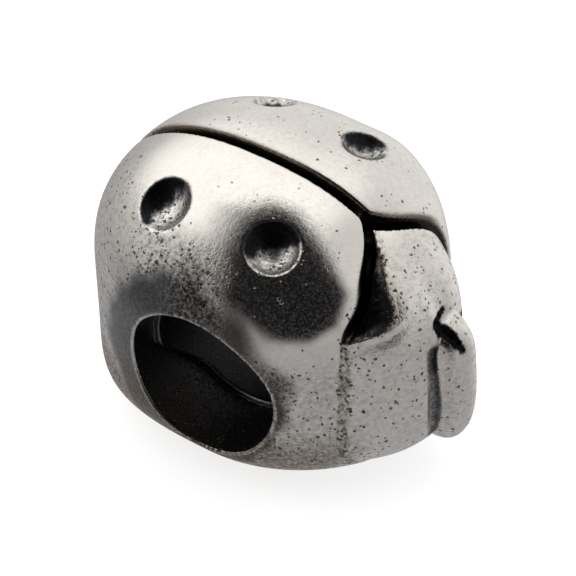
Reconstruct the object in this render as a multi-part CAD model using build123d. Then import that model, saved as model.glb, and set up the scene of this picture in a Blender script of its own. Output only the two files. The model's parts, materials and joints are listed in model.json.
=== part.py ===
from build123d import *
import os
from math import acos, cos, exp, sin, sqrt

# A ladybird charm bead, cast in one piece of antiqued silver-coloured metal.
# It slides on a bracelet through a wide bore, and stands on a flat base.
# Millimetres. X runs along the bore, the head points to -Y, and Z is up.
# The origin is on the bore's axis, halfway between its two mouths.

# The bore: a straight core with a slightly wider mouth at each end
bore_radius = 2.20
mouth_step = 0.20
core_length = 5.10
mouth_radius = bore_radius + mouth_step

# The shell and belly: a dome on a rounded loaf, with lengths from the bore's axis
half_width = 4.54
shell_rear = 5.77
shell_front = 4.71
crown_height = 5.36
shoulder_height = 1.12
floor_wall = 1.00
foot_share = 0.55
belly_lean = 0.03
crown_power = 2.35
belly_power = 5.0
base_height = -(mouth_radius + floor_wall)

# The head block in front, under the shell's front edge
head_half_width = 3.19
head_reach = 0.98
head_drop = 0.60
head_crown = 3.58
head_base_lift = 0.13
head_lean = 0.16
head_crown_power = 2.43
head_belly_power = 3.4
head_front = shell_front + head_reach
head_top = crown_height - head_drop
head_shoulder = head_top - head_crown
head_base = base_height + head_base_lift

# The small face in front of the head block
face_half_width = 0.90
face_half_length = 1.18
face_reach = 0.67
face_drop = 2.54
face_crown = 1.50
face_base_lift = 0.86
face_power = 2.6
face_middle = head_front + face_reach - face_half_length
face_top = head_top - face_drop
face_shoulder = face_top - face_crown
face_base = base_height + face_base_lift

# The shell's front edge: a shallow V at the middle, swept forward at the sides
collar_setback = 2.04
collar_sweep = 1.23
collar_turn = 0.86
collar_middle = shell_front - collar_setback

# Grooves, each cut this deep under the surface that it runs on
seam_width = 0.26
seam_depth = 0.35
seam_foot = -2.20
neck_width = 0.32
neck_depth = 0.38
neck_foot = 1.90

# Spots: round dents, each the print of a ball
spot_radius = 0.85
spot_depth = 0.46
# columns: place across as a share of half_width, then the shell's length that the
# row follows, the place along as a share of it, and the way, 1 for the rear
SPOT_ROWS = [
    dict(across=0.565, length=shell_rear, along=0.380, way=1),
    dict(across=0.565, length=shell_front, along=0.300, way=-1),
]

# Cheek slots: a slanting round-bottomed slot on each side of the face
cheek_radius = 0.15
# columns: the slot's ends as shares of the face's half width, half length and crown
CHEEK_ENDS = [
    dict(across=0.55, along=0.23, rise=1.02),
    dict(across=0.25, along=0.92, rise=0.49),
]

# The small flat in the middle of a crown, as a share of its radius
flat_share = 0.10

# How finely the curves are drawn, and how far a cutter runs past what it cuts
curve_points = 9
edge_points = 7
spare = 1.0


def power_arc(radius, height, power, flat, lean=0.0):
    """Points of a quarter curve between an ellipse and a box, from its side up to a flat end.

    flat is the flat end's share of the radius, and lean widens the curve towards that end.
    """
    stop = acos(flat ** (power / 2))
    full = sin(stop) ** (2 / power)
    points = []
    for i in range(curve_points):
        angle = stop * i / (curve_points - 1)
        across = cos(angle) ** (2 / power)
        rise = sin(angle) ** (2 / power) / full
        points.append((radius * across * (1 + lean * rise), height * rise))
    return points


def half_profile(radius, base, shoulder, top, belly, crown, foot=flat_share, lean=0.0):
    """Half of a loaf's upright section, from its axis out to its side."""
    low = [(x, shoulder - z) for x, z in power_arc(radius, shoulder - base, belly, foot, lean)]
    high = [(x, shoulder + z) for x, z in power_arc(radius, top - shoulder, crown, flat_share)]
    edges = [
        Line((0, base), low[-1]),
        Spline(*reversed(low)),
        Spline(*high),
        Line(high[-1], (0, top)),
        Line((0, top), (0, base)),
    ]
    return make_face(Plane.XZ * Wire(edges))


def loaf(radius, rear, front, **section):
    """A loaf with an oval plan, whose rear and front halves have their own lengths."""
    profile = half_profile(radius, **section)
    halves = []
    for length, arc in ((rear, 180), (front, -180)):
        if length > 0:
            turned = revolve(profile, Axis.Z, arc)
            halves.append(scale(turned, by=(1, length / radius, 1)))
    return halves[0] if len(halves) == 1 else halves[0] + halves[1]


def shell_form(inset=0.0):
    """The shell and belly in one, or the same form smaller by an inset."""
    return loaf(
        half_width - inset,
        shell_rear - inset,
        shell_front - inset,
        base=base_height + inset,
        shoulder=shoulder_height,
        top=crown_height - inset,
        belly=belly_power,
        crown=crown_power,
        foot=foot_share,
        lean=belly_lean,
    )


def head_form(inset=0.0):
    """The head block, front half only, or the same form smaller by an inset."""
    return loaf(
        head_half_width - inset,
        0,
        head_front - inset,
        base=head_base + inset,
        shoulder=head_shoulder,
        top=head_top - inset,
        belly=head_belly_power,
        crown=head_crown_power,
        lean=head_lean,
    )


def face_form():
    """The upright lobe of the face."""
    lobe = loaf(
        face_half_width,
        face_half_length,
        face_half_length,
        base=face_base,
        shoulder=face_shoulder,
        top=face_top,
        belly=face_power,
        crown=face_power,
    )
    return Pos(0, -face_middle, 0) * lobe


def collar_place(across):
    """How far forward the shell's front edge lies, at this distance from the middle."""
    return collar_middle + collar_sweep * (1 - exp(-across / collar_turn))


def collar_block(offset, foot):
    """All that lies in front of the shell's front edge, moved on by an offset, above a foot."""
    wide = half_width + spare
    reach = head_front + face_reach + spare
    steps = [wide * (i / (edge_points - 1)) ** 2 for i in range(edge_points)]
    right = [(x, -collar_place(x) - offset) for x in steps]
    left = [(-x, y) for x, y in right]
    outline = [
        Spline(*right),
        Line(right[-1], (wide, -reach)),
        Line((wide, -reach), (-wide, -reach)),
        Line((-wide, -reach), left[-1]),
        Spline(*reversed(left)),
    ]
    return extrude(Pos(0, 0, foot) * make_face(Wire(outline)), crown_height + spare - foot)


def seam_groove():
    """The groove between the two wing cases, from the neck groove over the crown and down the rear."""
    rear = shell_rear + spare
    front = collar_middle + neck_width / 2
    height = crown_height + spare - seam_foot
    slab = Box(seam_width, rear + front, height)
    slab = Pos(0, (rear - front) / 2, seam_foot + height / 2) * slab
    return slab - shell_form(seam_depth)


def neck_groove():
    """The groove in the head block, along the shell's front edge."""
    band = collar_block(0, neck_foot) - collar_block(neck_width, neck_foot)
    return band - head_form(neck_depth)


def crown_spot(across, back):
    """A ball that prints one spot on the dome, at a place across and towards the rear."""
    length = shell_rear if back > 0 else shell_front
    plan = sqrt((across / half_width) ** 2 + (back / length) ** 2)
    rise = (1 - plan ** crown_power) ** (1 / crown_power)
    dome = crown_height - shoulder_height
    slope = plan ** (crown_power - 2)
    outward = Vector(
        slope * across / half_width ** 2,
        slope * back / length ** 2,
        rise ** (crown_power - 1) / dome,
    ).normalized()
    surface = Vector(across, back, shoulder_height + dome * rise)
    ball = (spot_radius ** 2 + spot_depth ** 2) / (2 * spot_depth)
    return Pos(surface + outward * (ball - spot_depth)) * Rot(0, 90, 0) * Sphere(ball)


def spots():
    """The four spots, two on each wing case."""
    balls = []
    for row in SPOT_ROWS:
        for side in (-1, 1):
            across = side * row["across"] * half_width
            balls.append(crown_spot(across, row["way"] * row["along"] * row["length"]))
    return balls


def cheek_slots():
    """A slanting slot on each side of the face."""
    cutters = []
    for side in (-1, 1):
        ends = []
        for row in CHEEK_ENDS:
            ends.append(Vector(
                side * row["across"] * face_half_width,
                -face_middle - row["along"] * face_half_length,
                face_shoulder + row["rise"] * face_crown,
            ))
        run = ends[1] - ends[0]
        cutters.append(Plane(ends[0] + run / 2, z_dir=run) * Cylinder(cheek_radius, run.length))
    return cutters


def bore():
    """The straight core and its wider mouths, as one cutter along X."""
    wide = half_width + spare
    core = Rot(0, 90, 0) * Cylinder(bore_radius, 2 * wide)
    mouth = wide - core_length / 2
    for side in (-1, 1):
        place = side * (core_length + mouth) / 2
        core += Pos(place, 0, 0) * Rot(0, 90, 0) * Cylinder(mouth_radius, mouth)
    return core


def bead():
    """The whole casting."""
    shell = shell_form() - collar_block(0, base_height - spare)
    body = shell + head_form() + face_form()
    body -= seam_groove()
    body -= neck_groove()
    for ball in spots():
        body -= ball
    for slot in cheek_slots():
        body -= slot
    return body - bore()


os.makedirs("parts", exist_ok=True)
casting = bead()
casting.label = "bead"
export_step(casting, "parts/bead.step")
print("bead", round(casting.volume, 2), "mm3", casting.bounding_box())
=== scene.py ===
"""A ladybird charm bead, cast in antiqued silver-coloured metal, on a pale studio floor.

The bead's surface is worked out as a distance field in millimetres, around the CAD model's
box and bore, and turned into one closed mesh. Everything else is in metres.
"""
import json
import math
from types import SimpleNamespace

import bpy
import numpy as np
from mathutils import Matrix, Vector


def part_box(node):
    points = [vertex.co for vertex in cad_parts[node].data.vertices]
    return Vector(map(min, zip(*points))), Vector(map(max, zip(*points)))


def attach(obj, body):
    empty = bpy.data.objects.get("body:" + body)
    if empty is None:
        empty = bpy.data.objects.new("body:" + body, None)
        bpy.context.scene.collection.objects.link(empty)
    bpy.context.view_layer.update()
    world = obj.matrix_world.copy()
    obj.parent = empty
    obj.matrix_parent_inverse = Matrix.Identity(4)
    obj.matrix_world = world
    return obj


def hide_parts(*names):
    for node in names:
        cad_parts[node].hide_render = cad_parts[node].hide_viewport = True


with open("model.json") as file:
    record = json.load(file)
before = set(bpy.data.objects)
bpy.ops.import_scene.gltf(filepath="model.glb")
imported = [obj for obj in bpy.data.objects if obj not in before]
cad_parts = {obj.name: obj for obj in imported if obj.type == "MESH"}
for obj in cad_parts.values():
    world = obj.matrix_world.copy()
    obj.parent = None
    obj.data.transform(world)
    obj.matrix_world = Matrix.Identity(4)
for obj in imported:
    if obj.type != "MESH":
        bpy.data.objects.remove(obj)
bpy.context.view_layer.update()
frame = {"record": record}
MM = 0.001

# Sizes in millimetres, from the CAD box and the bore mount
NODE = "bead"
low, high = [[value / MM for value in corner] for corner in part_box(NODE)]
mounts = {mount["name"]: mount for mount in frame["record"]["mounts"]}
BORE_RADIUS = mounts["bore"]["dims"]["r_mm"]
CORE_HALF = mounts["bore"]["dims"]["length_mm"] / 2
MOUTH_RADIUS = BORE_RADIUS + 0.20
BASE = low[2]
CROWN = high[2]
# How far the mouths cut into the shell's sides, and how far its lean carries its rear out
SIDE_LOST_TO_MOUTH = 0.118
REAR_BULGE = 0.052


def loaf_sizes(**sizes):
    """A loaf's sizes. Its rear, front and far side are like its middle where they aren't given."""
    usual = {
        "middle": 0.0, "rear_corner": 0.0, "lean": 0.0,
        "far_plan": sizes["plan"], "far_crown": sizes["crown"],
        "rear_belly": sizes["belly"], "front_belly": sizes["belly"],
        "rear_lean": sizes.get("lean", 0.0), "front_lean": sizes.get("lean", 0.0),
    }
    return SimpleNamespace(**{**usual, **sizes})


SHELL = loaf_sizes(
    half_width=high[0] + SIDE_LOST_TO_MOUTH, rear=high[1] - REAR_BULGE, front=4.71,
    base=BASE - 0.05, shoulder=1.12, top=CROWN,
    plan=2.22, far_plan=2.03, rear_corner=1.8, crown=2.38, far_crown=2.72,
    belly=5.0, rear_belly=5.2, front_belly=4.4, lean=0.03, rear_lean=-0.01,
)
FACE_REACH = 0.67
HEAD = loaf_sizes(
    half_width=3.52, rear=3.0, front=-low[1] - FACE_REACH,
    base=BASE + 0.12, shoulder=1.18, top=CROWN - 0.60,
    plan=2.3, crown=2.35, belly=3.5, lean=0.40, front_lean=0.06,
)
# The casting isn't quite even: the head is slimmer where x is positive, and fuller in front
# where x is negative
NEAR_CHEEK = 0.15
FAR_HEAD = SimpleNamespace(**{
    **vars(HEAD),
    "half_width": 3.15, "far_plan": 1.92, "far_crown": 2.85, "lean": 0.20, "rear_lean": 0.20,
})
FACE_HALF_LENGTH = 1.18
FACE_SHIFT = 0.10
FACE = loaf_sizes(
    half_width=0.90 - FACE_SHIFT, rear=FACE_HALF_LENGTH, front=FACE_HALF_LENGTH,
    middle=low[1] + FACE_HALF_LENGTH, base=BASE + 0.86, shoulder=0.72, top=2.15,
    plan=2.4, crown=2.4, belly=3.0,
)
# How long a loaf's middle takes to turn into its rear or front, and into its far side
END_BLEND = 4.0
FAR_BLEND = 2.0
FLARE_SOFTNESS = 0.03

# The shell's front edge, with a small bulge where x is negative
COLLAR_MIDDLE = SHELL.front - 2.01
COLLAR_SWEEP = 1.27
COLLAR_TURN = 0.83
EDGE_BULGE = 0.13
EDGE_BULGE_HEIGHT = 3.2

# The seam groove between the wing cases, and the neck groove along the shell's front edge
SEAM_FLOOR = 0.16
SEAM_SPREAD = 0.25
SEAM_DEPTH = 0.40
SEAM_FOOT = -2.2
NECK_WIDTH = 0.26
NECK_DEPTH = 0.45
NECK_FOOT = 2.15
NECK_FADE = 0.35

# The hollow beside the neck groove, worn deeper on the side where x is negative
HOLLOW_WIDE = 1.06
HOLLOW_MIDDLE = 2.83
HOLLOW_RISE = 1.75
HOLLOW_FALL = 0.54
HOLLOW_DEPTH = 0.13
FAR_HOLLOW_DEPTH = 0.03
# The lip under the hollow, which rises away from the groove
LIP_HEIGHT = 0.05
LIP_START = 2.27
LIP_SLANT = 0.38

# Spots, two on each wing case: places across and along, radius and depth in millimetres. Each
# spot's patina carries painted shade: black from "edge" on, measured in radii along "shade", where
# shade and dark reflections fall in the dent, and lighter before it, on the lit side.
SPOTS = (
    dict(
        across=-2.62, along=2.21, radius=0.90, depth=0.46,
        shade=(0.00, 0.83, 0.56), edge=-0.28, lit_side=0.05,
    ),
    dict(
        across=-2.53, along=-1.54, radius=0.85, depth=0.46,
        shade=(0.43, 0.53, 0.71), edge=-0.28, lit_side=0.22,
    ),
    dict(
        across=2.50, along=2.15, radius=0.66, depth=0.32,
        shade=(-1.13, -0.58, -2.06), edge=0.66, lit_side=0.12,
    ),
    dict(
        across=2.16, along=-1.36, radius=0.72, depth=0.40,
        shade=(0.80, 0.56, -0.20), edge=0.14, lit_side=0.22,
    ),
)
STAINED_SPOT = 1
SPOT_BLACK = 0.93

# Where the core ends and the wider mouth begins, as a distance from the middle plane
STEP_LOW = CORE_HALF - 0.42
STEP_HIGH = CORE_HALF + 0.72

# Fillets where forms join, and roundings of the edges that cuts leave
NECK_FILLET = 0.03
FLANK_FILLET = 0.53
FACE_FILLET = 0.05
BASE_ROUND = 0.10
EDGE_ROUND = 0.07
SPOT_ROUND = 0.10
VALLEY_ROUND = 0.16
SLOT_ROUND = 0.06
CORE_ROUND = 0.04
MOUTH_ROUND = 0.09

# Mesh
GRID_STEP = 0.07
TRIANGLES = 190_000


def power_gauge(x, y, z, form):
    """1 on the surface of a domed loaf with an oval plan, less inside, more outside."""
    y = y - form.middle
    length = np.where(y > 0, form.rear, form.front)
    drop = np.clip((form.shoulder - z) / (form.shoulder - form.base), 0, 2)
    rise = np.clip((z - form.shoulder) / (form.top - form.shoulder), 0, 3)
    rearward = ramp(y, 0.0, END_BLEND)
    flare = np.sqrt(np.minimum(drop, 1) ** 2 + FLARE_SOFTNESS) - math.sqrt(FLARE_SOFTNESS)
    wider = 1 + (form.lean + (form.rear_lean - form.lean) * rearward) * flare
    longer = 1 + (form.front_lean + (form.rear_lean - form.front_lean) * rearward) * flare
    far = ramp(x, 0.0, FAR_BLEND) * ramp(-y, 0.0, FAR_BLEND)
    plan = form.plan + (form.far_plan - form.plan) * far
    plan = plan + np.where(y > 0, form.rear_corner, 0) * np.minimum(drop, 1) ** 5
    crown = form.crown + (form.far_crown - form.crown) * far
    across = np.abs(x / (form.half_width * wider)) + 1e-9
    along = np.abs(y / (length * longer)) + 1e-9
    spread = (across ** plan + along ** plan) ** (1 / plan)
    upper = (spread ** crown + rise ** crown) ** (1 / crown)
    belly = form.belly + (form.rear_belly - form.belly) * rearward
    belly = belly + (form.front_belly - form.belly) * ramp(-y, 0.0, END_BLEND)
    lower = (spread ** belly + drop ** belly) ** (1 / belly)
    return np.where(z > form.shoulder, upper, lower)


def loaf(x, y, z, form):
    """Distance to a loaf, close to true near its surface."""
    step = 0.01
    here = power_gauge(x, y, z, form)
    slope_x = (power_gauge(x + step, y, z, form) - here) / step
    slope_y = (power_gauge(x, y + step, z, form) - here) / step
    slope_z = (power_gauge(x, y, z + step, form) - here) / step
    slope = np.sqrt(slope_x ** 2 + slope_y ** 2 + slope_z ** 2)
    return (here - 1) / np.maximum(slope, 0.08)


def join(a, b, blend):
    """Union of two distances, with a fillet."""
    share = np.clip(0.5 + 0.5 * (b - a) / blend, 0, 1)
    return b * (1 - share) + a * share - blend * share * (1 - share)


def cut(a, b, blend):
    """Distance a without the inside of b, with a rounded edge."""
    return -join(-a, b, blend)


def ramp(value, start, end):
    """0 before start, 1 after end, and smooth between them."""
    share = np.clip((value - start) / (end - start), 0, 1)
    return share * share * (3 - 2 * share)


def peak(value, middle, width):
    """1 where a value is in the middle, falling off smoothly on both sides."""
    return np.exp(-((value - middle) / width) ** 2)


def capsule(x, y, z, start, end, radius):
    """Distance to a rod with round ends."""
    run = [b - a for a, b in zip(start, end)]
    size = sum(v * v for v in run)
    share = ((x - start[0]) * run[0] + (y - start[1]) * run[1] + (z - start[2]) * run[2]) / size
    share = np.clip(share, 0, 1)
    return np.sqrt(
        (x - start[0] - share * run[0]) ** 2
        + (y - start[1] - share * run[1]) ** 2
        + (z - start[2] - share * run[2]) ** 2
    ) - radius


def path(x, y, z, points, radii):
    """Distance to rods that follow a path."""
    rods = [capsule(x, y, z, *ends) for ends in zip(points, points[1:], radii)]
    return np.minimum.reduce(rods)


def collar_distance(side, forward):
    """Distance in front of the shell's front edge."""
    fade = np.exp(-side / COLLAR_TURN)
    slope = COLLAR_SWEEP / COLLAR_TURN * fade
    return (forward - COLLAR_MIDDLE - COLLAR_SWEEP * (1 - fade)) / np.sqrt(1 + slope ** 2)


def hollow_reach(z):
    """How far the hollow beside the neck groove reaches over the head block, by height."""
    above = np.clip((z - HOLLOW_MIDDLE) / HOLLOW_RISE, 0, 1)
    below = np.clip((HOLLOW_MIDDLE - z) / HOLLOW_FALL, 0, 1)
    return HOLLOW_WIDE * (1 - above ** 1.3 - below ** 1.8)


def spot_balls():
    """The balls that print the spots."""
    heights = np.linspace(SHELL.shoulder, SHELL.top, 400)
    balls = []
    for spot in SPOTS:
        size = (spot["radius"] ** 2 + spot["depth"] ** 2) / (2 * spot["depth"])
        inside = power_gauge(spot["across"], spot["along"], heights, SHELL) < 1
        surface = np.array([spot["across"], spot["along"], heights[inside].max()])
        outward = np.array([
            power_gauge(*(surface + step), SHELL) - power_gauge(*(surface - step), SHELL)
            for step in np.eye(3) * 0.01
        ])
        outward /= np.linalg.norm(outward)
        balls.append(SimpleNamespace(
            middle=surface + outward * (size - spot["depth"]), size=size, surface=surface,
            radius=spot["radius"], shade=np.array(spot["shade"]), edge=spot["edge"],
            lit_side=spot["lit_side"],
        ))
    return balls


def ball_distance(x, y, z, ball):
    """Distance to one of those balls."""
    across, along, height = ball.middle
    return np.sqrt((x - across) ** 2 + (y - along) ** 2 + (z - height) ** 2) - ball.size


SPOT_BALLS = spot_balls()

# Cheek relief: on each side a dark slot, and the valley between head and face. Each is a path of
# points on the surface in millimetres, with a radius for each stretch. The valleys mirror each other.
NEAR_SLOT = (
    (0.06, -5.50, 2.38), (-0.16, -5.54, 2.33), (-0.41, -5.63, 2.22), (-0.33, -5.80, 1.95),
    (-0.26, -6.00, 1.78), (-0.20, -6.16, 1.56), (-0.11, -6.29, 1.32),
)
NEAR_SLOT_RADII = (0.06, 0.09, 0.16, 0.17, 0.13, 0.08)
FAR_SLOT = ((0.88, -5.50, 1.50), (0.84, -5.76, 1.26), (0.70, -6.04, 0.98))
FAR_SLOT_RADII = (0.10,) * 2
VALLEY_PATH = (
    (0.82, -5.88, 1.45), (0.89, -5.91, 0.50), (0.91, -5.86, -0.70), (0.84, -5.73, -1.90),
)
VALLEY_RADII = (0.22,) * 3

# Two short scratches beside the bore
SCRATCHES = (
    ((-4.04, -2.47, -0.50), (-4.05, -2.36, -1.75)),
    ((-4.14, -2.26, -0.98), (-4.12, -2.25, -1.40)),
)
SCRATCH_RADIUS = 0.015


def plain_forms(x, y, z):
    """Distances to the shell, the head block and the face, with no relief."""
    side = np.abs(x)
    shell = loaf(x, y, z, SHELL)
    bulge = EDGE_BULGE * peak(z, EDGE_BULGE_HEIGHT, 0.50) * ramp(-x, 0.8, 1.6)
    collar = collar_distance(side, -y - bulge)
    wings = cut(shell, -collar, EDGE_ROUND)
    reach = hollow_reach(z)
    depth = np.where(x < 0, HOLLOW_DEPTH, FAR_HOLLOW_DEPTH)
    depth = depth * ramp(side, 0.1, 0.5) * ramp(reach, 0.0, 0.4)
    cheek = NEAR_CHEEK * ramp(-x, 0.0, 0.7) * ramp(-y, 3.9, 5.4)
    lip = LIP_HEIGHT * peak(z - LIP_START - LIP_SLANT * collar, 0.0, 0.20)
    lip = lip * ramp(collar, 0.0, 0.2) * ramp(-collar, -1.5, -1.0) * ramp(-x, 0.0, 0.3)
    head = np.where(x < 0, loaf(x, y + cheek, z, HEAD), loaf(x, y, z, FAR_HEAD))
    head = head + depth * (1 - ramp(collar, 0.45 * reach, reach + 0.04)) - lip
    face = loaf(x - FACE_SHIFT, y, z, FACE)
    return shell, collar, wings, head, face


def scratches(x, y, z):
    """Distance to the scratches."""
    return np.minimum.reduce([capsule(x, y, z, *ends, SCRATCH_RADIUS) for ends in SCRATCHES])


def seam_groove(z, side, shell, collar):
    """Distance to the inside of the groove between the wing cases."""
    above_floor = shell + SEAM_DEPTH
    walls = side - SEAM_FLOOR / 2 - SEAM_SPREAD * np.maximum(above_floor, 0)
    return np.maximum.reduce([walls, -above_floor, collar - NECK_WIDTH / 2, SEAM_FOOT - z])


def neck_groove(z, collar, head):
    """Distance to the inside of the groove in the head block, along the shell's front edge."""
    fade = ramp(z, NECK_FOOT, NECK_FOOT + NECK_FADE)
    walls = np.abs(collar - NECK_WIDTH / 2) - NECK_WIDTH / 2
    return np.maximum(walls, -(head + NECK_DEPTH * fade)) + NECK_WIDTH * (1 - fade)


def field(x, y, z, full=False):
    """Distance to the whole bead in millimetres, or with full the measures that the finish reads."""
    side = np.abs(x)
    shell, collar, wings, head, face = plain_forms(x, y, z)
    fillet = NECK_FILLET + (FLANK_FILLET - NECK_FILLET) * ramp(-z, -1.9, -0.6)
    plain = join(join(wings, head, fillet), face, FACE_FILLET)
    plain = cut(plain, z - BASE, BASE_ROUND)

    spots = np.minimum.reduce([ball_distance(x, y, z, ball) for ball in SPOT_BALLS])
    near_slot = path(x, y, z, NEAR_SLOT, NEAR_SLOT_RADII)
    slot = np.minimum(near_slot, path(x, y, z, FAR_SLOT, FAR_SLOT_RADII))
    valley = np.maximum(path(side, y, z, VALLEY_PATH, VALLEY_RADII), -face)
    body = cut(plain, seam_groove(z, side, shell, collar), EDGE_ROUND)
    body = cut(body, neck_groove(z, collar, head), EDGE_ROUND)
    body = cut(body, spots, SPOT_ROUND)
    body = cut(body, valley, VALLEY_ROUND)
    body = cut(body, slot, SLOT_ROUND)

    around = np.sqrt(y ** 2 + z ** 2)
    step = STEP_LOW + (STEP_HIGH - STEP_LOW) * ramp(z, -1.9, -0.3)
    body = cut(body, around - BORE_RADIUS, CORE_ROUND)
    body = cut(body, np.maximum(around - MOUTH_RADIUS, step - side), MOUTH_ROUND)
    if not full:
        return body
    return SimpleNamespace(
        plain=plain, shell=shell, collar=collar, head=head, face=face, spots=spots, slot=slot,
        around=around, side=side, step=step,
    )


CORNERS = [(i, j, k) for i in (0, 1) for j in (0, 1) for k in (0, 1)]


def at_corner(array, cells, corner):
    """A grid's values at one corner of each of its cells."""
    i, j, k = corner
    return array[i:i + cells[0], j:j + cells[1], k:k + cells[2]]


def sample_grid():
    """The field on a fine grid, worked out only near the surface."""
    coarse = 4
    reach = 0.55
    margin = 4 * GRID_STEP
    start = np.array(low) - margin
    size = np.array(high) - start + margin
    cells = np.ceil(size / (GRID_STEP * coarse)).astype(int)
    axes = [start[i] + GRID_STEP * np.arange(cells[i] * coarse + 1) for i in range(3)]
    rough_axes = [axis[::coarse] for axis in axes]
    rough = field(*np.meshgrid(*rough_axes, indexing="ij"))
    corners = [at_corner(rough, cells, corner) for corner in CORNERS]
    lowest = np.minimum.reduce(corners)
    highest = np.maximum.reduce(corners)
    near = (lowest < reach) & (highest > -reach)
    values = np.ones([len(axis) for axis in axes])
    wanted = np.zeros(values.shape, bool)
    inside = lowest < 0
    for i, j, k in np.argwhere(near | inside):
        block = (
            slice(i * coarse, (i + 1) * coarse + 1),
            slice(j * coarse, (j + 1) * coarse + 1),
            slice(k * coarse, (k + 1) * coarse + 1),
        )
        if near[i, j, k]:
            wanted[block] = True
        else:
            values[block] = -1.0
    places = np.nonzero(wanted)
    values[places] = field(axes[0][places[0]], axes[1][places[1]], axes[2][places[2]])
    return start, values


def net_points(start, values, places):
    """In each of some grid cells, the middle of the points where the surface crosses its edges."""
    total = np.zeros((len(places), 3))
    crossings = np.zeros(len(places))
    for first in CORNERS:
        for axis in range(3):
            if first[axis]:
                continue
            last = tuple(1 if i == axis else first[i] for i in range(3))
            a = values[tuple((places + first).T)]
            b = values[tuple((places + last).T)]
            crossed = (a < 0) != (b < 0)
            share = np.where(crossed, a / np.where(crossed, a - b, 1), 0)
            point = np.array(first) + share[:, None] * (np.array(last) - np.array(first))
            total += np.where(crossed[:, None], point, 0)
            crossings += crossed
    return start + GRID_STEP * (places + total / crossings[:, None])


def net_quads(inside, index):
    """A quad across each grid edge that the surface crosses, from the cells' point numbers."""
    quads = []
    for axis in range(3):
        one, two = [(axis + 1) % 3, (axis + 2) % 3]
        span = [slice(1, -1)] * 3
        span[axis] = slice(0, -1)
        ahead = list(span)
        ahead[axis] = slice(1, None)
        a = inside[tuple(span)]
        b = inside[tuple(ahead)]
        for leaving in (True, False):
            crossed = np.argwhere((a & ~b) if leaving else (b & ~a))
            base = crossed + [0 if i == axis else 1 for i in range(3)]
            ring = []
            for back_one, back_two in ((1, 1), (0, 1), (0, 0), (1, 0)):
                cell = base.copy()
                cell[:, one] -= back_one
                cell[:, two] -= back_two
                ring.append(index[tuple(cell.T)])
            quad = np.stack(ring, -1)
            quads.append(quad if leaving else quad[:, ::-1])
    return np.concatenate(quads)


def surface_net(start, values):
    """A point in each grid cell that the surface crosses, and the quads between these points."""
    inside = values < 0
    cells = tuple(n - 1 for n in values.shape)
    count = sum(at_corner(inside, cells, corner).astype(int) for corner in CORNERS)
    places = np.argwhere((count > 0) & (count < len(CORNERS)))
    index = np.full(cells, -1)
    index[tuple(places.T)] = np.arange(len(places))
    return net_points(start, values, places), net_quads(inside, index)


def slope_at(points, step=0.012):
    """The field's slope at some points."""
    slope = np.empty_like(points)
    for axis in range(3):
        ahead = points.copy()
        behind = points.copy()
        ahead[:, axis] += step
        behind[:, axis] -= step
        slope[:, axis] = (field(*ahead.T) - field(*behind.T)) / (2 * step)
    return slope


def settle(points, rounds=3):
    """Moves points onto the surface."""
    for _ in range(rounds):
        slope = slope_at(points)
        away = field(*points.T) / np.maximum((slope ** 2).sum(1), 0.3)
        away = np.clip(away, -GRID_STEP, GRID_STEP)
        points = points - away[:, None] * slope
    return points


# The masks that the shader reads. The first holds the real patina together with painted shade,
# painted reflections and painted highlights.
FINISH_AND_SHADE_MASKS = ("patina_and_shade", "brown", "pitted")


def spot_patina_and_shade(points, in_spot):
    """The patina in the spots, with painted shade: black on one side of an uneven line, lighter on
    the lit side.
    """
    x, y, _ = points.T
    wave = 0.07 * np.sin(9 * x + 4 * y) + 0.05 * np.sin(17 * y - 11 * x + 1)
    patina_and_shade = np.zeros_like(x)
    for ball in SPOT_BALLS:
        offset = points - ball.surface
        near = np.linalg.norm(offset, axis=1) < 1.3
        shade = ramp(offset @ ball.shade / ball.radius + wave - ball.edge, 0.0, 0.34)
        patina_and_shade = np.where(near, in_spot * (ball.lit_side + (SPOT_BLACK - ball.lit_side) * shade), patina_and_shade)
    return patina_and_shade


def hollow_patina(x, y, z, measures):
    """The patina in the hollow beside the neck groove, and how close a point is to its border."""
    on_head = ramp(-np.abs(measures.head), -0.35, -0.05)
    reach = hollow_reach(z)
    crumble = 0.045 * np.sin(13 * z - 5 * y) + 0.04 * np.sin(24 * z + 17 * y + 2)
    crumble = crumble + 0.03 * np.sin(37 * y - 9 * z)
    inside = ramp(reach + crumble - measures.collar, -0.05, 0.05) * ramp(measures.collar, -0.06, 0.0)
    inside = inside * on_head * ramp(-x, 0.0, 0.3) * ramp(reach, 0.0, 0.1)
    patina_and_shade = 0.96 - 0.36 * ramp(measures.collar + 1.5 * crumble, 0.35 * reach, 0.90 * reach)
    border = peak(measures.collar, reach + 0.03, 0.11) * ramp(-x, -0.1, 0.1) * ramp(z, 2.2, 2.3)
    return patina_and_shade * inside, border * on_head


def valley_patina(z, measures, sunk, on_front):
    """The patina in the valleys beside the face, blackest in the middle and at both ends."""
    beside = on_front * ramp(measures.side, 0.3, 0.6)
    end = ramp(z, 0.4, 0.9) + ramp(-z, 1.3, 1.8)
    valley = ramp(-measures.face, -0.44, -0.16) * (0.56 + 0.20 * end)
    line = ramp(-measures.face, -0.20, -0.08) * ramp(sunk, 0.01, 0.05) * (0.74 + 0.23 * end)
    return beside * np.maximum(valley, line)


def bore_patina_and_highlight(z, measures):
    """The patina in the bore, blackest in its mouths, with a painted highlight on the ledge where
    they end.
    """
    in_core = ramp(measures.step - measures.side, -0.02, 0.04)
    ledge = peak(measures.side, measures.step, 0.06) * peak(measures.around, BORE_RADIUS + 0.03, 0.06)
    # The ledge term is a painted highlight, faded out higher up.
    return 0.80 - 0.17 * in_core - 0.32 * ledge * ramp(-z, 0.2, 0.6)


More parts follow.
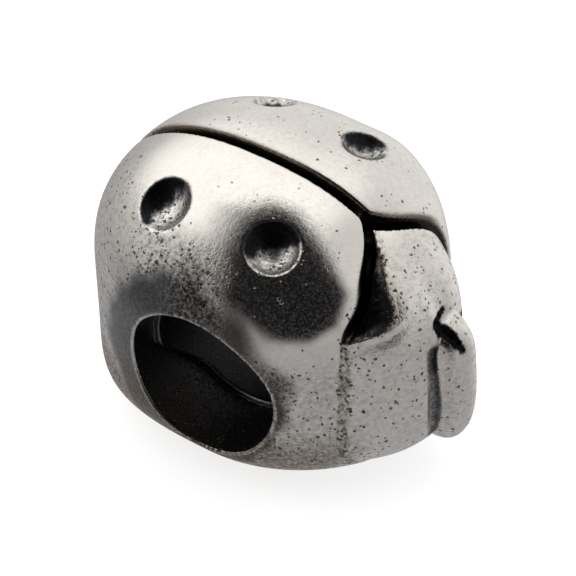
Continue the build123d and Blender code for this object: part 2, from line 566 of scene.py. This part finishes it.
def mouth_ring(y, z, measures):
    """A painted dark reflection, as a ring around each mouth."""
    wander = 0.16 * np.sin(2.3 * y + 1.7 * z) + 0.10 * np.sin(4.9 * y - 3.7 * z + 1.0)
    reach = 2.80 + 0.80 * ramp(y, -2.8, 0.4) + wander
    patina_and_shade = 0.56 + 0.12 * ramp(-y, 0.6, 1.6) + 0.05 * ramp(y, 0.5, 1.5)
    return patina_and_shade * ramp(reach - measures.around, -0.45, 0.35) * ramp(measures.side, 2.6, 3.4)


def pitted_areas(points):
    """How pitted the open metal is: most on the near flank behind the head, least on top."""
    x, y, z = points.T
    flank = ramp(-z, -4.7, -3.9) * ramp(y, -1.5, -0.1) * (0.35 + 0.65 * ramp(-x, -0.5, 0.5))
    from_stained_spot = np.linalg.norm(points - SPOT_BALLS[STAINED_SPOT].surface, axis=1)
    return np.maximum.reduce([
        0.03 * ramp(z, 4.9, 5.15) + 0.10 * ramp(x, 0.0, 1.0),
        flank * (1 - 0.55 * ramp(y, 1.4, 3.2)),
        0.38 * ramp(-z, -2.6, -1.0),
        0.36 * ramp(-y, 3.7, 4.2),
        0.12 * ramp(-from_stained_spot, -2.3, -1.6),
    ])


def finish_and_shade_areas(x, y, z, measures):
    """Where the parts of the finish and of the painted shade and highlights lie, each from 0 to 1 at
    each point.
    """
    sunk = -measures.plain
    on_flank = ramp(measures.side, 2.4, 3.2)
    in_bore = ramp(-measures.around, -MOUTH_RADIUS - 0.04, -MOUTH_RADIUS + 0.02)
    in_spot = ramp(-measures.spots, -0.06, -0.01) * (1 - in_bore)
    on_front = ramp(-y, 5.15, 5.5) * ramp(measures.face, -0.01, 0.03) * ramp(-z, -1.75, -1.55)
    wall = ramp(-measures.shell, 0.02, 0.10) * ramp(0.12 - np.abs(measures.collar), 0.0, 0.06)
    crease = ramp(measures.collar, -0.04, 0.03) * (1 - ramp(measures.collar, 0.18, 0.42))
    along_seam = (measures.collar < 0) * ramp(z, -1.0, 2.0) * ramp(-y, -5.2, -4.4)
    return SimpleNamespace(
        in_bore=in_bore,
        in_spot=in_spot,
        on_front=on_front,
        groove=ramp(sunk, 0.03, 0.16) * (1 - in_spot) * (1 - in_bore) * (1 - on_front),
        slot=ramp(-measures.slot, -0.07, -0.01),
        wall=wall * ramp(z, 0.8, 1.6),
        crease=crease * ramp(-z, -2.35, -2.15) * ramp(-y, 2.5, 3.2),
        # ring is a painted dark reflection around each mouth, and rim is a painted highlight on its
        # edge
        ring=mouth_ring(y, z, measures),
        rim=peak(measures.around, MOUTH_RADIUS + 0.06, 0.05),
        # The next two are painted shade, darker towards the bottom of the flanks.
        low_belly=ramp(-z, 0.2, 2.0) * on_flank,
        low_flank_shade=ramp(-z, -2.4, -0.8) * on_flank * ramp(-measures.collar, -0.05, 0.05),
        seam_stain=peak(x, 0.15, 0.09) * along_seam,
        collar_stain=peak(measures.collar, -0.02, 0.07) * ramp(x, 0.0, 0.4) * ramp(z, 2.9, 3.6),
        scratch=peak(np.maximum(scratches(x, y, z), 0), 0.0, 0.03),
    )


def finish_and_shade_masks(points, normals):
    """How dark the patina and painted shade are, how brown they are, and how pitted the metal is, at
    each point.
    """
    x, y, z = points.T
    measures = field(x, y, z, full=True)
    sunk = -measures.plain
    area = finish_and_shade_areas(x, y, z, measures)
    hollow, hollow_border = hollow_patina(x, y, z, measures)
    # Painted shade on faces turned downwards, low on the belly.
    under = ramp(-normals[:, 2], 0.55, 0.80) * ramp(-z, 0.3, 1.0)
    patina_and_shade = np.maximum.reduce([
        area.groove * (0.50 + 0.48 * ramp(sunk, 0.12, 0.30)),
        area.in_bore * bore_patina_and_highlight(z, measures),
        spot_patina_and_shade(points, area.in_spot),
        hollow,
        valley_patina(z, measures, sunk, area.on_front),
        # the mouths' painted dark reflection, lighter on the rim as a painted highlight
        area.ring * (1 - 0.85 * area.rim),
        0.97 * area.slot,
        0.95 * area.wall,
        0.14 * area.crease,
        # painted shade, darker under the belly and towards the bottom of the flanks
        0.55 * under,
        0.37 * area.low_belly,
        0.08 * area.low_flank_shade,
        0.60 * area.seam_stain,
        0.50 * area.collar_stain,
        0.60 * area.scratch,
    ])
    brown = np.maximum.reduce([
        area.groove * ramp(-sunk, -0.25, -0.10) * (1 - area.slot),
        area.wall * ramp(measures.shell, -0.25, -0.10),
        # the mouths' painted dark reflection, tinted brown towards the front
        0.5 * area.ring * ramp(-y, -1.5, -0.3),
        0.6 * area.crease,
        hollow_border,
        area.seam_stain,
        area.collar_stain,
        # painted shade low on the flanks, tinted brown
        area.low_belly,
    ])
    smooth = ramp(area.ring, 0.15, 0.45) * ramp(y, 0.3, 1.5)
    pitted = [pitted_areas(points), area.crease, hollow_border, 0.5 * area.in_spot]
    pitted = np.maximum.reduce(pitted) * (1 - 0.8 * smooth) * (1 - 0.9 * area.in_bore)
    return [np.clip(mask, 0, 1) for mask in (patina_and_shade, brown * (1 - 0.85 * area.in_bore), pitted)]


def make_mesh(points, faces):
    """A Blender mesh in metres from points in millimetres."""
    mesh = bpy.data.meshes.new("ladybird_bead")
    mesh.vertices.add(len(points))
    mesh.vertices.foreach_set("co", (points * MM).ravel())
    mesh.loops.add(faces.size)
    mesh.loops.foreach_set("vertex_index", faces.ravel())
    mesh.polygons.add(len(faces))
    mesh.polygons.foreach_set("loop_start", np.arange(len(faces)) * faces.shape[1])
    mesh.update(calc_edges=True)
    mesh.validate()
    return mesh


def fewer_triangles(mesh):
    """The same surface within the triangle budget, with small faces only where it bends."""
    piece = bpy.data.objects.new("draft", mesh)
    bpy.context.scene.collection.objects.link(piece)
    count = sum(len(polygon.vertices) - 2 for polygon in mesh.polygons)
    if count > TRIANGLES:
        lighter = piece.modifiers.new("lighter", "DECIMATE")
        lighter.ratio = TRIANGLES / count
        lighter.use_collapse_triangulate = True
    depsgraph = bpy.context.evaluated_depsgraph_get()
    result = bpy.data.meshes.new_from_object(piece.evaluated_get(depsgraph))
    bpy.data.objects.remove(piece)
    return result


def make_bead():
    """The bead's mesh, with smooth normals and the attributes that its finish reads, painted shade
    among them.
    """
    points, quads = surface_net(*sample_grid())
    points = settle(points)
    mesh = fewer_triangles(make_mesh(points, quads))
    points = np.empty(len(mesh.vertices) * 3)
    mesh.vertices.foreach_get("co", points)
    points = settle(points.reshape(-1, 3) / MM, rounds=2)
    points = np.clip(points, low, high)
    mesh.vertices.foreach_set("co", (points * MM).ravel())
    mesh.polygons.foreach_set("use_smooth", np.ones(len(mesh.polygons), bool))
    normals = slope_at(points, step=0.02)
    normals /= np.linalg.norm(normals, axis=1)[:, None]
    mesh.normals_split_custom_set_from_vertices(normals.tolist())
    for name, values in zip(FINISH_AND_SHADE_MASKS, finish_and_shade_masks(points, normals)):
        mesh.attributes.new(name, "FLOAT", "POINT").data.foreach_set("value", values)
    mesh.update()
    piece = bpy.data.objects.new("ladybird_bead", mesh)
    bpy.context.scene.collection.objects.link(piece)
    return piece


class Nodes:
    """Short ways to add and link shader nodes."""

    def __init__(self, tree):
        self.tree = tree

    def add(self, kind, inputs=None, **settings):
        """A new node with some inputs, each a value or another node's output."""
        node = self.tree.nodes.new(kind)
        for name, value in settings.items():
            setattr(node, name, value)
        for name, value in (inputs or {}).items():
            self.feed(node, name, value)
        return node

    def feed(self, node, name, value):
        """Links an output to a node's input, or sets its value."""
        socket = node.inputs[name]
        if isinstance(value, bpy.types.NodeSocket):
            self.tree.links.new(value, socket)
        else:
            socket.default_value = value

    def math(self, operation, a, b=0.0, c=0.0, clamp=False):
        """A sum, product or the like."""
        node = self.add("ShaderNodeMath", {0: a, 1: b, 2: c}, operation=operation, use_clamp=clamp)
        return node.outputs[0]

    def dot(self, vector, direction):
        """A vector's length along a direction."""
        inputs = {0: vector, 1: tuple(direction)}
        node = self.add("ShaderNodeVectorMath", inputs, operation="DOT_PRODUCT")
        return node.outputs["Value"]

    def span(self, value, start, end, low=0.0, high=1.0):
        """low before start, high after end, and smooth between them."""
        inputs = {"Value": value, "From Min": start, "From Max": end, "To Min": low, "To Max": high}
        node = self.add("ShaderNodeMapRange", inputs, interpolation_type="SMOOTHSTEP")
        return node.outputs["Result"]

    def noise(self, vector, scale, detail=2.0, roughness=0.5):
        """Cloudy noise."""
        inputs = {"Vector": vector, "Scale": scale, "Detail": detail, "Roughness": roughness}
        return self.add("ShaderNodeTexNoise", inputs).outputs["Fac"]

    def mix(self, share, a, b, blend="MIX"):
        """Colour a, with a share of b mixed in. The numbers are the colour sockets of the node."""
        node = self.add("ShaderNodeMix", {0: share, 6: a, 7: b}, data_type="RGBA", blend_type=blend)
        return node.outputs[2]


def pits(nodes, place, scale, density, largest):
    """Small pores: 1 in a pore's middle, 0 on the smooth metal around it."""
    cells = nodes.add("ShaderNodeTexVoronoi", {"Vector": place, "Scale": scale, "Randomness": 1.0})
    draw = nodes.add("ShaderNodeSeparateColor", {"Color": cells.outputs["Color"]}).outputs[0]
    excess = nodes.math("ADD", draw, nodes.math("SUBTRACT", density, 1.0))
    share = nodes.math("DIVIDE", excess, nodes.math("MAXIMUM", density, 0.02), clamp=True)
    widest = nodes.span(density, 0.0, 0.8, 0.72 * largest, largest)
    radius = nodes.math("MULTIPLY", nodes.math("POWER", share, 0.4), widest)
    gap = nodes.math("SUBTRACT", radius, cells.outputs["Distance"])
    return nodes.span(gap, -0.03, 0.10)


def tone(nodes, dark, stops):
    """A colour for each depth of patina and painted shade, from bare metal to black."""
    ramp_node = nodes.add("ShaderNodeValToRGB", {"Fac": dark})
    elements = ramp_node.color_ramp.elements
    for element, (position, colour) in zip(elements, (stops[0], stops[-1])):
        element.position = position
        element.color = colour
    for position, colour in stops[1:-1]:
        elements.new(position).color = colour
    return ramp_node.outputs["Color"]


# Colours by depth of patina and painted shade: the even grey kind, and the brown kind of edges,
# creases and the painted shade low on the flanks
GREY_PATINA_AND_SHADE = (
    (0.0, (0.84, 0.80, 0.745, 1)),
    (0.33, (0.45, 0.435, 0.412, 1)),
    (0.66, (0.125, 0.126, 0.130, 1)),
    (0.86, (0.030, 0.031, 0.033, 1)),
    (1.0, (0.006, 0.006, 0.007, 1)),
)
BROWN_PATINA_AND_SHADE = (
    (0.0, (0.83, 0.785, 0.725, 1)),
    (0.33, (0.46, 0.405, 0.350, 1)),
    (0.66, (0.130, 0.095, 0.070, 1)),
    (0.86, (0.036, 0.027, 0.021, 1)),
    (1.0, (0.008, 0.006, 0.005, 1)),
)
PORE_COLOUR = (0.075, 0.056, 0.045, 1)
STAIN_TINT = (0.78, 0.765, 0.75, 1)
RELIEF = 0.022 * MM


def pores(nodes, place, pitted):
    """Fine and coarse pores together, crowded where the metal is pitted."""
    patches = nodes.noise(place, 2.0, detail=2.0)
    stir = nodes.add("ShaderNodeTexNoise", {"Vector": place, "Scale": 8.0, "Detail": 2.0})
    shift = {0: stir.outputs["Color"], 1: (0.14,) * 3, 2: place}
    stirred = nodes.add("ShaderNodeVectorMath", shift, operation="MULTIPLY_ADD").outputs[0]
    crowd = nodes.math("MULTIPLY", pitted, nodes.span(patches, 0.34, 0.62, 0.50, 1.15), clamp=True)
    fine = nodes.math("MULTIPLY", pits(nodes, stirred, 7.4, crowd, 0.48), 0.86)
    sparse = nodes.math("MULTIPLY", crowd, 0.45)
    coarse = nodes.math("MULTIPLY", pits(nodes, stirred, 4.4, sparse, 0.34), 0.95)
    return nodes.math("MAXIMUM", fine, coarse)


def uneven_patina_and_shade(nodes, patina_and_shade, pitted, grain, speckle):
    """The patina and painted shade, with ragged edges, and mottled where the metal is pitted."""
    ragged = nodes.span(speckle, 0.30, 0.70, -0.09, 0.09)
    ragged = nodes.math("MULTIPLY", ragged, nodes.span(patina_and_shade, 0.02, 0.25))
    ragged = nodes.math("MULTIPLY", ragged, nodes.span(patina_and_shade, 1.0, 0.85))
    ragged = nodes.math("MULTIPLY", ragged, nodes.span(pitted, 0.0, 0.5, 0.35, 1.0))
    mottle = nodes.span(grain, 0.30, 0.72, -0.16, 0.40)
    mottle = nodes.math("MULTIPLY", mottle, nodes.math("ADD", pitted, 0.08))
    mottle = nodes.math("MULTIPLY", mottle, nodes.span(patina_and_shade, 0.95, 0.35))
    return nodes.math("ADD", nodes.math("ADD", patina_and_shade, ragged), mottle, clamp=True)


def cast_relief(nodes, pitted, grain, speckle, pore):
    """The bent normals of a finely uneven casting, sunk in its pores."""
    casting = nodes.math("MULTIPLY_ADD", speckle, 0.35, grain)
    casting = nodes.math("MULTIPLY", casting, pitted)
    height = nodes.math("MULTIPLY_ADD", casting, 0.9, nodes.math("MULTIPLY", grain, 0.06))
    height = nodes.math("SUBTRACT", height, nodes.math("MULTIPLY", pore, 0.6))
    bump = nodes.add("ShaderNodeBump", {"Height": height, "Strength": 1.0, "Distance": RELIEF})
    return bump.outputs["Normal"]


def antique_silver():
    """Polished cast silver-coloured metal: bright where rubbed, dark in grooves and pores, with
    painted shade, reflections and highlights in its masks.
    """
    material = bpy.data.materials.new("antique_silver")
    material.use_nodes = True
    nodes = Nodes(material.node_tree)
    shader = material.node_tree.nodes["Principled BSDF"]

    coordinates = nodes.add("ShaderNodeTexCoord").outputs["Object"]
    in_mm = {0: coordinates, "Scale": 1 / MM}
    place = nodes.add("ShaderNodeVectorMath", in_mm, operation="SCALE").outputs[0]
    patina_and_shade, brown, pitted = [
        nodes.add("ShaderNodeAttribute", attribute_name=name).outputs["Fac"] for name in FINISH_AND_SHADE_MASKS
    ]
    cloud = nodes.noise(place, 1.1, detail=3.0)
    grain = nodes.noise(place, 6.5, detail=4.0, roughness=0.65)
    speckle = nodes.noise(place, 13.0, detail=2.0, roughness=0.6)
    pore = pores(nodes, place, pitted)
    dark = uneven_patina_and_shade(nodes, patina_and_shade, pitted, grain, speckle)

    metal = nodes.mix(brown, tone(nodes, dark, GREY_PATINA_AND_SHADE), tone(nodes, dark, BROWN_PATINA_AND_SHADE))
    stain = nodes.math("MULTIPLY", nodes.span(cloud, 0.30, 0.72), 0.20)
    metal = nodes.mix(stain, metal, STAIN_TINT, blend="MULTIPLY")
    open_pore = nodes.math("MULTIPLY", pore, nodes.span(patina_and_shade, 0.85, 0.55))
    rough = nodes.math("MULTIPLY_ADD", pitted, 0.17, nodes.span(grain, 0.3, 0.7, 0.11, 0.15))
    rough = nodes.math("MULTIPLY_ADD", nodes.math("MAXIMUM", dark, pore), 0.25, rough)
    nodes.feed(shader, "Base Color", nodes.mix(open_pore, metal, PORE_COLOUR))
    nodes.feed(shader, "Metallic", nodes.span(speckle, 0.42, 0.66, 1.0, 0.94))
    nodes.feed(shader, "Roughness", rough)
    nodes.feed(shader, "Normal", cast_relief(nodes, pitted, grain, speckle, pore))
    return material


# The photograph's view: angles in degrees, and the picture's scale and centre
VIEW_AZIMUTH = -50.98
VIEW_ELEVATION = 43.23
VIEW_ROLL = -3.54
PICTURE_SIDE = 576
PIXELS_PER_MM = 35.0
ORIGIN_PIXEL = (289.4, 297.1)
CAMERA_DISTANCE = 0.42


def view_axes():
    """Right, up and back of the camera in the bead's frame."""
    azimuth, elevation, roll = [math.radians(a) for a in (VIEW_AZIMUTH, VIEW_ELEVATION, VIEW_ROLL)]
    back = Vector((
        math.sin(azimuth) * math.cos(elevation),
        -math.cos(azimuth) * math.cos(elevation),
        math.sin(elevation),
    ))
    level = Vector((math.cos(azimuth), math.sin(azimuth), 0))
    upward = back.cross(level)
    right = level * math.cos(roll) + upward * math.sin(roll)
    up = upward * math.cos(roll) - level * math.sin(roll)
    return right, up, back


def make_camera():
    """A long lens at the photograph's angle."""
    right, up, back = view_axes()
    shift_x = (PICTURE_SIDE / 2 - ORIGIN_PIXEL[0]) / PIXELS_PER_MM * MM
    shift_y = (ORIGIN_PIXEL[1] - PICTURE_SIDE / 2) / PIXELS_PER_MM * MM
    target = right * shift_x + up * shift_y
    data = bpy.data.cameras.new("camera")
    data.sensor_width = 36.0
    data.lens = data.sensor_width * CAMERA_DISTANCE / (PICTURE_SIDE / PIXELS_PER_MM * MM)
    data.clip_start = 0.01
    data.clip_end = 20.0
    camera = bpy.data.objects.new("camera", data)
    camera.matrix_world = Matrix.Translation(target + back * CAMERA_DISTANCE) @ Matrix((
        (right.x, up.x, back.x), (right.y, up.y, back.y), (right.z, up.z, back.z),
    )).to_4x4()
    bpy.context.scene.collection.objects.link(camera)
    bpy.context.scene.camera = camera


FLOOR_SIDE = 1.2
FLOOR_GLOW = 0.78


def make_floor():
    """A plain, pale, matt floor that the bead stands on."""
    half = FLOOR_SIDE / 2
    mesh = bpy.data.meshes.new("floor")
    corners = [(-half, -half), (half, -half), (half, half), (-half, half)]
    mesh.from_pydata([(x, y, BASE * MM) for x, y in corners], [], [(0, 1, 2, 3)])
    floor = bpy.data.objects.new("floor", mesh)
    bpy.context.scene.collection.objects.link(floor)
    material = bpy.data.materials.new("pale_floor")
    material.use_nodes = True
    shader = material.node_tree.nodes["Principled BSDF"]
    shader.inputs["Base Color"].default_value = (0.90, 0.90, 0.895, 1)
    shader.inputs["Roughness"].default_value = 0.9
    shader.inputs["Specular IOR Level"].default_value = 0.1
    shader.inputs["Emission Color"].default_value = (1, 1, 1, 1)
    shader.inputs["Emission Strength"].default_value = FLOOR_GLOW
    mesh.materials.append(material)
    floor.visible_glossy = False


# The dark opening that the metal mirrors: the room behind the camera. Its corners are to the
# right and up, in tangents of half the angle from the camera's way, with the softness of the
# side that runs from each corner to the next one, going round clockwise.
OPENING = (
    dict(right=-0.66, up=-0.22, soft=0.10),
    dict(right=-0.32, up=0.585, soft=0.07),
    dict(right=-0.12, up=0.70, soft=0.05),
    dict(right=0.02, up=0.61, soft=0.05),
    dict(right=0.39, up=-0.12, soft=0.05),
    dict(right=0.33, up=-0.40, soft=0.05),
    dict(right=0.10, up=-0.55, soft=0.06),
    dict(right=-0.24, up=-0.55, soft=0.13),
)
# Softer shade beside it, as ellipses
SHADE = (
    dict(right=-0.31, up=-0.04, wide=0.35, tall=0.44, soft=0.45, dark=0.20),
    dict(right=-1.05, up=-0.50, wide=0.75, tall=0.30, soft=0.45, dark=0.52),
)
KEY_ANGLE = math.radians(78)
TENT_LOW = (0.42, 0.42, 0.43, 1)
TENT_HIGH = (0.74, 0.74, 0.735, 1)
KEY_COLOUR = (1.28, 1.275, 1.27, 1)
FILL_COLOUR = (0.86, 0.86, 0.86, 1)
ROOM_COLOUR = (0.009, 0.009, 0.010, 1)
BACKDROP = (1, 1, 1, 1)


def room_shade(nodes, rightward, upward):
    """1 in the dark opening, some in the softer shade beside it, and 0 in the bright tent."""
    beyond = -9.0
    for corner, following in zip(OPENING, OPENING[1:] + OPENING[:1]):
        run_right = following["right"] - corner["right"]
        run_up = following["up"] - corner["up"]
        size = math.hypot(run_right, run_up) * corner["soft"]
        outward = (-run_up / size, run_right / size)
        shift = -(outward[0] * corner["right"] + outward[1] * corner["up"])
        rise = nodes.math("MULTIPLY_ADD", upward, outward[1], shift)
        rise = nodes.math("MULTIPLY_ADD", rightward, outward[0], rise)
        beyond = nodes.math("MAXIMUM", beyond, rise)
    shade = nodes.span(beyond, 1.0, -1.0)
    for part in SHADE:
        x = nodes.math("DIVIDE", nodes.math("SUBTRACT", rightward, part["right"]), part["wide"])
        y = nodes.math("DIVIDE", nodes.math("SUBTRACT", upward, part["up"]), part["tall"])
        spread = nodes.math("SQRT", nodes.math("MULTIPLY_ADD", x, x, nodes.math("MULTIPLY", y, y)))
        inside = nodes.span(spread, 1 + part["soft"], 1 - part["soft"], 0.0, part["dark"])
        shade = nodes.math("MAXIMUM", shade, inside)
    return shade


def make_studio():
    """A soft white tent with a large soft light at the upper left, around a dark room."""
    right, up, back = view_axes()
    key = back * math.cos(KEY_ANGLE) + (up * 0.95 - right * 0.31) * math.sin(KEY_ANGLE)
    fill = right * 0.57 + up * 0.62 - back * 0.54
    world = bpy.data.worlds.new("studio")
    bpy.context.scene.world = world
    world.use_nodes = True
    nodes = Nodes(world.node_tree)
    direction = nodes.add("ShaderNodeTexCoord").outputs["Generated"]
    facing = nodes.math("MAXIMUM", nodes.math("ADD", nodes.dot(direction, back), 1.0), 0.01)
    rightward = nodes.math("DIVIDE", nodes.dot(direction, right), facing)
    upward = nodes.math("DIVIDE", nodes.dot(direction, up), facing)

    height = nodes.span(nodes.dot(direction, (0, 0, 1)), -0.45, 0.55)
    key_share = nodes.span(nodes.dot(direction, key.normalized()), 0.55, 0.93)
    fill_share = nodes.span(nodes.dot(direction, fill.normalized()), 0.45, 0.92)
    glow = nodes.mix(height, TENT_LOW, TENT_HIGH)
    glow = nodes.mix(key_share, glow, KEY_COLOUR)
    glow = nodes.mix(fill_share, glow, FILL_COLOUR)
    glow = nodes.mix(room_shade(nodes, rightward, upward), glow, ROOM_COLOUR)
    seen = nodes.add("ShaderNodeLightPath").outputs["Is Camera Ray"]
    background = world.node_tree.nodes["Background"]
    nodes.feed(background, "Color", nodes.mix(seen, glow, BACKDROP))


def main():
    """Builds the scene."""
    scene = bpy.context.scene
    scene.view_settings.view_transform = "Standard"
    make_camera()
    make_studio()
    make_floor()
    bead = make_bead()
    bead.data.materials.append(antique_silver())
    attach(bead, "root")
    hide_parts(NODE)


main()
